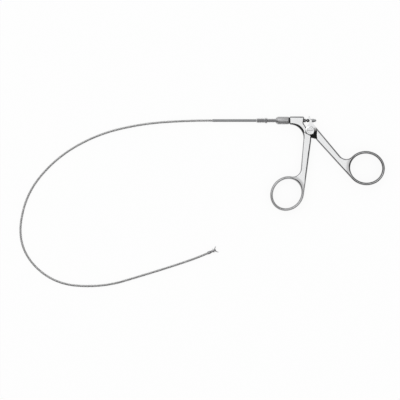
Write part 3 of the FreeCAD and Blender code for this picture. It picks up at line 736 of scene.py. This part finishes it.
def makeFlag(index, bearing, sweep, low, high):
    # dark flag that only reflections show, as round polished metal in a studio
    middle = Vector(studio["middle"])
    reach = studio["flagDistance"]
    turn = math.radians(bearing)
    start = Vector((math.cos(turn), math.sin(turn), 0.0)) * reach
    heights = [reach * math.tan(math.radians(angle)) for angle in (low, high)]
    bm = bmesh.new()
    verts = [bm.verts.new(middle + start + Vector((0, 0, height))) for height in heights]
    edge = bm.edges.new(verts)
    bmesh.ops.spin(bm, geom=verts + [edge], cent=middle, axis=(0, 0, 1),
                   angle=math.radians(sweep), steps=24, use_duplicate=False)
    flag = toObject("flag%d" % index, bm)
    for rays in ("camera", "diffuse", "shadow", "transmission", "volume_scatter"):
        setattr(flag, "visible_" + rays, False)
    material, shader = newMaterial("flagCloth")
    shader.inputs["Base Color"].default_value = studio["flagShade"]
    shader.inputs["Roughness"].default_value = 1.0
    flag.data.materials.append(material)


def makeLamp(name, place, size, power):
    data = bpy.data.lights.new(name, "AREA")
    data.shape = "SQUARE"
    data.size = size
    data.energy = power
    lamp = bpy.data.objects.new(name, data)
    lamp.location = place
    lamp.rotation_mode = "QUATERNION"
    heading = Vector(studio["middle"]) - Vector(place)
    lamp.rotation_quaternion = heading.to_track_quat("-Z", "Y")
    scene.collection.objects.link(lamp)


makeWorld()
makeFloor()
for index, flag in enumerate(studio["flags"]):
    makeFlag(index, *flag)
for lamp in studio["lamps"]:
    makeLamp(*lamp)
print("studio ready")


# forged handle halves: the CAD outline, drawn in along a rolled edge on both sides
forgeSet = {
    "sectionZ": 1.3,
    "rollSteps": 9,
    "roll": 1.0,
    "bodyTopRoll": 1.4,
    "faceRoll": 0.25,
    "hubRoll": 0.45,
    "backEdgeRoll": 1.35,
    "slotEdgeRoll": 1.0,
    "slotEdgeFromY": -4.0,
    "slotEdgeFade": 7.0,
    # the front shank's back edge: its span along y, and a line x = first + (y - second) * third
    "frontBackSpan": (-37.0, -3.6),
    "frontBackLine": (-1.25, -7.0, 0.114),
    # the rear shank's back edge: its highest x, and a line y + first * x = second
    "rearBackEnd": 24.0,
    "rearBackLine": (1.15, 3.5),
    "longEdge": 12.0,
    "longEdgeCuts": 15,
    "elbowRoll": 2.6,
    "elbowCentre": (-15.1, -5.772),
    "elbowRadius": 10.272,
    "elbowSpan": (-5.5, 90.5),
    "elbowBegins": -5.1,
    "elbowFade": 45.0,
    "elbowNarrows": 50.0,
    "elbowEnds": 90.0,
    "elbowNarrowShare": 0.8,
    "elbowBand": 2.8,
    "pastFace": 0.2,
    "lineSlack": 0.05,
    "arcSlack": 0.15,
    "faceX": -15.1,
    "bodyTopY": 10.7,
    "bodyTopDepth": 1.5,
    "hubReach": 3.35,
    "screwHoleReach": 2.0,
    "straightTurn": 0.2,
    "mergeGap": 0.04,
    # places beside the slot where the painted shade is deepest, and how far each reaches
    "slotSpots": [((1.2, -4.6), 2.6), ((0.8, -7.0), 1.9)],
    "ringHole": (0.7, 0.9),
    "neckRoll": 0.7,
    "neckSpread": 42.0,
    # shares of painted shade: on edges facing the back bearing, along the body's top edge and over
    # the hub step
    "backBearing": 20.0,
    "backShare": 0.55,
    "bodyTopShare": 0.5,
    "stepShare": 0.9,
    "stepMargins": (0.1, 0.3),
}


def ringAway(x, y, ring):
    # distance from a ring's centre, 1 on its outer edge
    centre, radii, tilt = ring[:3]
    turn = math.radians(tilt)
    dx, dy = x - centre[0], y - centre[1]
    along = dx * math.cos(turn) + dy * math.sin(turn)
    across = dy * math.cos(turn) - dx * math.sin(turn)
    return math.hypot(along / radii[0], across / radii[1])


def neckRoll(x, y):
    # the inside of a ring rolls further where the neck broadens it
    low, high = forgeSet["ringHole"]
    for ring in rings:
        if low < ringAway(x, y, ring) < high:
            bearing = math.degrees(math.atan2(y - ring[0][1], x - ring[0][0]))
            turn = abs((bearing - ring[4] + 180.0) % 360.0 - 180.0) / forgeSet["neckSpread"]
            if turn < 1.0:
                return forgeSet["neckRoll"] * math.cos(math.pi / 2 * turn) ** 2
    return 0.0


def eased(share):
    return share * share * (3.0 - 2.0 * share)


def onShankBack(x, y):
    low, high = forgeSet["frontBackSpan"]
    lineX, lineY, slope = forgeSet["frontBackLine"]
    return low < y < high and x > lineX + (y - lineY) * slope


def fromElbow(x, y):
    # distance and bearing from the centre of the elbow's arc
    dx, dy = x - forgeSet["elbowCentre"][0], y - forgeSet["elbowCentre"][1]
    return math.hypot(dx, dy), math.degrees(math.atan2(dy, dx))


def elbowShare(bearing):
    return (bearing - forgeSet["elbowBegins"]) / forgeSet["elbowFade"]


def frontRoll(x, y):
    # width of the rolled edge at a point of the fixed half's outline
    away, bearing = fromElbow(x, y)
    low, high = forgeSet["elbowSpan"]
    if abs(x - forgeSet["faceX"]) < forgeSet["lineSlack"]:
        return forgeSet["faceRoll"]
    if abs(away - forgeSet["elbowRadius"]) < forgeSet["arcSlack"] and low < bearing < high:
        narrows = forgeSet["elbowNarrows"]
        ends = max(bearing - narrows, 0.0) / (forgeSet["elbowEnds"] - narrows)
        narrowed = 1.0 - forgeSet["elbowNarrowShare"] * eased(min(ends, 1.0))
        share = eased(min(elbowShare(bearing), 1.0)) * narrowed
        return forgeSet["roll"] + (forgeSet["elbowRoll"] - forgeSet["roll"]) * share
    if abs(y - forgeSet["bodyTopY"]) < forgeSet["lineSlack"]:
        return forgeSet["bodyTopRoll"]
    if math.hypot(x, y) < forgeSet["hubReach"]:
        return forgeSet["hubRoll"]
    if onShankBack(x, y):
        fade = math.exp((y - forgeSet["slotEdgeFromY"]) / forgeSet["slotEdgeFade"])
        return forgeSet["backEdgeRoll"] + forgeSet["slotEdgeRoll"] * fade
    return forgeSet["roll"] + neckRoll(x, y)


def paintedShadeShare(x, y, normal, fixed):
    # share of painted shade on a rolled edge: elbow, slot corner, body top, hub step, rings and
    # back edges
    # painted shade: edges get a share by how squarely they face the back bearing
    back = math.radians(forgeSet["backBearing"])
    facing = normal.x * math.cos(back) + normal.y * math.sin(back)
    shares = [forgeSet["backShare"] * facing]
    if fixed:
        away, bearing = fromElbow(x, y)
        inBand = away < forgeSet["elbowRadius"] + forgeSet["elbowBand"]
        pastFace = x > forgeSet["faceX"] + forgeSet["pastFace"]
        if pastFace and inBand and bearing > forgeSet["elbowBegins"]:
            shares.append(min(elbowShare(bearing), 1.0))
        for (slotX, slotY), reach in forgeSet["slotSpots"]:
            shares.append(min(2.0 - 2.0 * math.hypot(x - slotX, y - slotY) / reach, 1.0))
        if y > forgeSet["bodyTopY"] - forgeSet["bodyTopDepth"]:
            shares.append(forgeSet["bodyTopShare"])
        stepAway = x * frontSet["stepNormal"][0] + y * frontSet["stepNormal"][1]
        beyond, before = forgeSet["stepMargins"]
        if frontSet["hubStep"][0][0] - before < stepAway < frontSet["hubStep"][1][0] + beyond:
            shares.append(forgeSet["stepShare"])
    share = max(0.0, *shares)
    for ring in rings:
        away = (bandEnds[1] - ringAway(x, y, ring)) / (bandEnds[1] - bandEnds[0])
        share += (ring[3] - share) * eased(min(max(away, 0.0), 1.0))
    return share


def markPaintedShade(piece, fixed):
    # painted shade share, stored on each point for the handle steel
    layer = piece.data.attributes.new("paintedShade", "FLOAT", "POINT")
    for vert, item in zip(piece.data.vertices, layer.data):
        item.value = paintedShadeShare(vert.co.x / mm, vert.co.y / mm, vert.normal, fixed)


def rearRoll(x, y):
    slope, reach = forgeSet["rearBackLine"]
    if x < forgeSet["rearBackEnd"] and y + slope * x > reach:
        return forgeSet["backEdgeRoll"]
    return forgeSet["roll"] + neckRoll(x, y)


def walkLoops(bm):
    # ordered vertices of each closed outline, material on the left
    left = set(bm.verts)
    loops = []
    while left:
        start = left.pop()
        loop, last, here = [start], None, start
        while True:
            last = next(edge for edge in here.link_edges if edge is not last)
            here = last.other_vert(here)
            if here is start:
                break
            left.discard(here)
            loop.append(here)
        loops.append(loop)
    areas = [sum(a.co.x * b.co.y - b.co.x * a.co.y for a, b in zip(loop, loop[1:] + loop[:1]))
             for loop in loops]
    outer = max(range(len(loops)), key=lambda index: abs(areas[index]))
    for index, loop in enumerate(loops):
        if (areas[index] > 0) != (index == outer):
            loop.reverse()
    return loops


def insetStep(before, here, after, width):
    # the move that draws both neighbouring edges in by their own widths
    runIn, runOut = (here - before).normalized(), (after - here).normalized()
    sideIn, sideOut = Vector((-runIn.y, runIn.x)), Vector((-runOut.y, runOut.x))
    middleIn, middleOut = (before + here) / 2, (here + after) / 2
    widthIn, widthOut = width(middleIn.x, middleIn.y), width(middleOut.x, middleOut.y)
    turn = sideIn.x * sideOut.y - sideIn.y * sideOut.x
    if abs(turn) < forgeSet["straightTurn"]:
        both = (sideIn + sideOut).normalized()
        return both * (widthIn + widthOut) / 2 / both.dot(sideIn)
    return Vector(((widthIn * sideOut.y - widthOut * sideIn.y) / turn,
                   (widthOut * sideIn.x - widthIn * sideOut.x) / turn))


def forgeHalf(nodeName, width):
    bm = fromNode(nodeName)
    bmesh.ops.bisect_plane(bm, geom=wholeOf(bm), dist=0.0005,
                           plane_co=(0, 0, forgeSet["sectionZ"]), plane_no=(0, 0, 1),
                           clear_inner=True, clear_outer=True)
    # the neck and the screw hole are made again further on
    spare = [vert for vert in bm.verts
             if math.hypot(vert.co.x, vert.co.y) < forgeSet["screwHoleReach"]
             or (vert.co.x < forgeSet["faceX"] - 0.01 and vert.co.y > 0)]
    bmesh.ops.delete(bm, geom=spare, context="VERTS")
    looseEnds = [vert for vert in bm.verts if len(vert.link_edges) == 1]
    if looseEnds:
        bm.edges.new(looseEnds)
    bmesh.ops.remove_doubles(bm, verts=bm.verts, dist=forgeSet["mergeGap"])
    for vert in bm.verts[:]:
        first, second = (edge.other_vert(vert).co - vert.co for edge in vert.link_edges)
        if first.cross(second).length < 0.0005 * first.length * second.length:
            bmesh.utils.vert_dissolve(vert)
    # the shank's long back edge gets points again, because its roll narrows along it
    if nodeName == "front_handle":
        long = [edge for edge in bm.edges if edge.calc_length() > forgeSet["longEdge"]
                and onShankBack(*((edge.verts[0].co + edge.verts[1].co) / 2).to_2d())]
        bmesh.ops.subdivide_edges(bm, edges=long, cuts=forgeSet["longEdgeCuts"])
    base = bm.verts.layers.float_vector.new("base")
    inset = bm.verts.layers.float_vector.new("inset")
    for loop in walkLoops(bm):
        flat = [vert.co.to_2d() for vert in loop]
        for index, vert in enumerate(loop):
            move = insetStep(flat[index - 1], flat[index], flat[(index + 1) % len(flat)], width)
            vert[base] = (*flat[index], 0.0)
            vert[inset] = (*move, 0.0)
    for vert in bm.verts:
        vert.co.z = 0.0
    rim = bm.edges[:]
    for step in range(1, forgeSet["rollSteps"] + 1):
        turn = math.pi / 2 * step / forgeSet["rollSteps"]
        grown = bmesh.ops.extrude_edge_only(bm, edges=rim)["geom"]
        fresh = set(vertsOf(grown))
        rim = [edge for edge in edgesOf(grown) if set(edge.verts) <= fresh]
        for vert in fresh:
            vert.co = vert[base] + vert[inset] * (1.0 - math.cos(turn))
            vert.co.z = midZ * math.sin(turn)
    bmesh.ops.triangle_fill(bm, edges=rim, use_beauty=True)
    bmesh.ops.mirror(bm, geom=wholeOf(bm), matrix=Matrix(), merge_dist=0.001, axis="Z")
    bmesh.ops.translate(bm, vec=(0, 0, midZ), verts=bm.verts)
    return bm


def settleNormals(piece):
    # the wide flats keep their own normals beside the rolled edges
    weighted = piece.modifiers.new("flats", "WEIGHTED_NORMAL")
    weighted.weight = 100
    weighted.keep_sharp = True
    applyModifiers(piece)


# inside cuts and turned parts of the fixed half
frontSet = {
    "boss": [(0, 3.1), (3.3, 3.1), (3.3, 6.21), (2.9, 6.33), (2.35, 6.45), (0, 6.45)],
    "neck": (2.5, -16.2, -14.6),
    "spigot": (2.3, -20.4, -15.6),
    "slotLow": 1.55,
    "slotHigh": 4.65,
    "slotRadius": 3.9,
    "slotSweep": [(0, 0), (8.346, 0), (8.346, -8.731), (2.146, -8.731), (-1.813, -5.675),
                  (-3.633, -1.417)],
    "rodBore": (0.75, -21.4, -3.0),
    "bushBore": (1.37, -8.05, -3.0),
    "screwBore": (1.52, 0.45, 7.2),
    "headSeat": (2.12, 5.65, 7.2),
    # section of the shank's step below the hub: distance along stepNormal, and height
    "hubStep": [(3.0, 6.5), (3.55, 5.9), (16.0, 6.22), (16.0, 6.8), (3.0, 6.8)],
    "stepNormal": (-0.46, -0.888),
    "stepReach": 9.0,
    "notch": ((0.95, -4.2), 0.75),
    "notchReach": (0.3, 0.6),
    # the slot's faces, which take the recess steel with its painted shade
    "recessReach": 9.5,
    "recessTopY": 2.0,
    "recessMargin": 0.5,
    "recessSlack": 0.05,
}


def hubStepCut():
    # the shank starts a little lower than the hub and rises to its own face again
    normal = Vector((*frontSet["stepNormal"], 0.0))
    along = Vector((-normal.y, normal.x, 0.0))
    start = along * frontSet["stepReach"]
    section = [normal * away - start + Vector((0, 0, height))
               for away, height in frontSet["hubStep"]]
    return swept(section, start * 2)


def notchCut(centre, radius):
    below, above = frontSet["notchReach"]
    bm = discShape(radius, frontSet["slotHigh"] - below, depth + above, 40)
    bmesh.ops.translate(bm, vec=(*centre, 0.0), verts=bm.verts)
    return bm


def makeFrontHandle():
    piece = toPiece("fixedHandleForged", forgeHalf("front_handle", frontRoll))
    profile = [(radius, 0, height) for radius, height in frontSet["boss"]]
    boss = spun(profile, (0, 0, 0), (0, 0, 1), 96)
    for part in (boss, rodShape(*frontSet["neck"]), rodShape(*frontSet["spigot"])):
        combine(piece, toPiece("part", part), "UNION")
    cuts = (prism(frontSet["slotSweep"], frontSet["slotLow"], frontSet["slotHigh"]),
            discShape(frontSet["slotRadius"], frontSet["slotLow"], frontSet["slotHigh"]),
            rodShape(*frontSet["rodBore"]), rodShape(*frontSet["bushBore"]),
            discShape(*frontSet["screwBore"]), discShape(*frontSet["headSeat"]), hubStepCut(),
            notchCut(*frontSet["notch"]))
    for cut in cuts:
        combine(piece, toPiece("cut", cut), "DIFFERENCE")
    finishPiece(piece, "fixed_half", steels["handleSteel"])
    piece.data.materials.append(steels["recessShadedSteel"])
    leastX = frontSet["slotSweep"][-1][0] - frontSet["recessMargin"]
    low = frontSet["slotLow"] - frontSet["recessSlack"]
    high = frontSet["slotHigh"] + frontSet["recessSlack"]
    # slot faces take the second steel, painted shade in the recess
    for face in piece.data.polygons:
        x, y, z = face.center / mm
        near = math.hypot(x, y) < frontSet["recessReach"] and y < frontSet["recessTopY"]
        if near and x > leastX and low < z < high:
            face.material_index = 1
    settleNormals(piece)
    markPaintedShade(piece, True)
    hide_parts("front_handle")
    return piece


# moving half: forged shank and ring on the CAD tongue and lever
rearSet = {
    "tongueCutX": 4.75,
    "tongueReach": 0.6,
    "tongueDraw": (-0.9, 0.3),
    "recessLow": 1.5,
    "recessHigh": 4.7,
    "recessTopY": 2.6,
    "recessEndX": 5.0,
}


def makeRearHandle():
    piece = toPiece("movingHandleForged", forgeHalf("rear_handle", rearRoll))
    tongue = fromNode("rear_handle")
    cut = bmesh.ops.bisect_plane(tongue, geom=wholeOf(tongue), dist=0.0005, plane_no=(1, 0, 0),
                                 plane_co=(rearSet["tongueCutX"], 0, 0), clear_outer=True)
    capped = bmesh.ops.triangle_fill(tongue, edges=edgesOf(cut["geom_cut"]), use_beauty=True)
    caps = [item for item in capped["geom"] if isinstance(item, bmesh.types.BMFace)]
    pushed = bmesh.ops.extrude_face_region(tongue, geom=caps)
    moved = vertsOf(pushed["geom"])
    bmesh.ops.translate(tongue, vec=(rearSet["tongueReach"], 0, 0), verts=moved)
    bmesh.ops.delete(tongue, geom=caps, context="FACES_ONLY")
    # drawn in at both ends, so that the shank covers it
    middleY = sum(vert.co.y for vert in moved) / len(moved)
    for vert in moved:
        vert.co.y += rearSet["tongueDraw"][0 if vert.co.y > middleY else 1]
    combine(piece, toPiece("tongue", tongue), "UNION")
    finishPiece(piece, "moving_half", steels["handleSteel"])
    piece.data.materials.append(steels["recessShadedSteel"])
    # tongue faces in the recess take the second steel, painted shade
    for face in piece.data.polygons:
        x, y, z = face.center / mm
        if (x < rearSet["recessEndX"] and y < rearSet["recessTopY"]
                and rearSet["recessLow"] < z < rearSet["recessHigh"]):
            face.material_index = 1
    settleNormals(piece)
    markPaintedShade(piece, False)
    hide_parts("rear_handle")
    return piece


frontHandle = makeFrontHandle()
rearHandle = makeRearHandle()
print("handles ready, faces", len(frontHandle.data.polygons), len(rearHandle.data.polygons))


# union collar, turned so that one corner faces up
collarSet = {
    "frontX": -24.4,
    "rearX": -16.2,
    "acrossFlats": 5.8,
    "cornerRadius": 3.08,
    "coneLength": 1.6,
    "coneRadius": 1.9,
    "cavityRadius": 2.4,
    "cavityFrontX": -22.02,
    "bore": 1.61,
    "edge": 0.2,
    "seamStep": 0.02,
    "cutsPast": (3.0, 1.0),
    "smoothAngle": 25.0,
}


def aboutShaft(profile):
    # turned solid about the shaft's axis, from pairs of x and radius
    points = [(x, shaftY + radius, midZ) for x, radius in profile]
    return spun(points, (collarSet["frontX"], shaftY, midZ), (1, 0, 0), 96)


def makeCollar():
    front, rear = collarSet["frontX"], collarSet["rearX"]
    flatRadius = collarSet["acrossFlats"] / 2
    corner = flatRadius / math.cos(math.radians(30))
    turns = [math.radians(60 * index) for index in range(6)]
    corners = [(front, shaftY + corner * math.sin(turn), midZ + corner * math.cos(turn))
               for turn in turns]
    piece = toPiece("unionCollarHex", swept(corners, (rear - front, 0, 0)))
    limit, edge = collarSet["cornerRadius"], collarSet["edge"]
    trim = aboutShaft([(front - joinReach, 0), (front - joinReach, flatRadius),
                       (front, flatRadius), (front + edge * 2, limit), (rear - edge, limit),
                       (rear, limit - edge), (rear, 0)])
    combine(piece, toPiece("trim", trim), "INTERSECT")
    tip, seam = front - collarSet["coneLength"], flatRadius - collarSet["seamStep"]
    cone = aboutShaft([(tip, 0), (tip, collarSet["coneRadius"]), (front, seam),
                       (front + joinReach, seam), (front + joinReach, 0)])
    combine(piece, toPiece("cone", cone), "UNION")
    pastFront, pastRear = collarSet["cutsPast"]
    cavity = rodShape(collarSet["cavityRadius"], collarSet["cavityFrontX"], rear + pastRear)
    combine(piece, toPiece("cavity", cavity), "DIFFERENCE")
    bore = rodShape(collarSet["bore"], front - pastFront, rear)
    combine(piece, toPiece("bore", bore), "DIFFERENCE")
    finishPiece(piece, "fixed_half", steels["collarSteel"],
                collarSet["smoothAngle"])
    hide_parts("clamp_collar")
    return piece


collar = makeCollar()
print("collar ready, faces", len(collar.data.polygons))


# CAD pieces that keep their shape take their steel
keptSteel = {
    "pivot_screw": "screwSteel",
    "rod_guide_bush": "darkSteel",
    "drive_rod": "darkSteel",
    "thrust_ball": "darkSteel",
    "adjusting_nut": "tubeSteel",
    "lock_nut": "tubeSteel",
    "rod_wire_crimp": "tubeSteel",
    "rear_ferrule": "ferruleSteel",
    "front_ferrule": "ferruleSteel",
    "stiffening_tube": "tubeSteel",
    "tip_sleeve": "tipSteel",
    "tip_clevis": "tipSteel",
    "upper_blade": "tipSteel",
    "lower_blade": "tipSteel",
    "blade_pivot_pin": "tipSteel",
    "drive_yoke": "tipSteel",
    "yoke_pin": "tipSteel",
    "tip_wire_crimp": "tipSteel",
}
for nodeName, steelName in keptSteel.items():
    mesh = nodes[nodeName].data
    mesh.materials.clear()
    mesh.materials.append(steels[steelName])
print("kept pieces finished:", len(keptSteel))
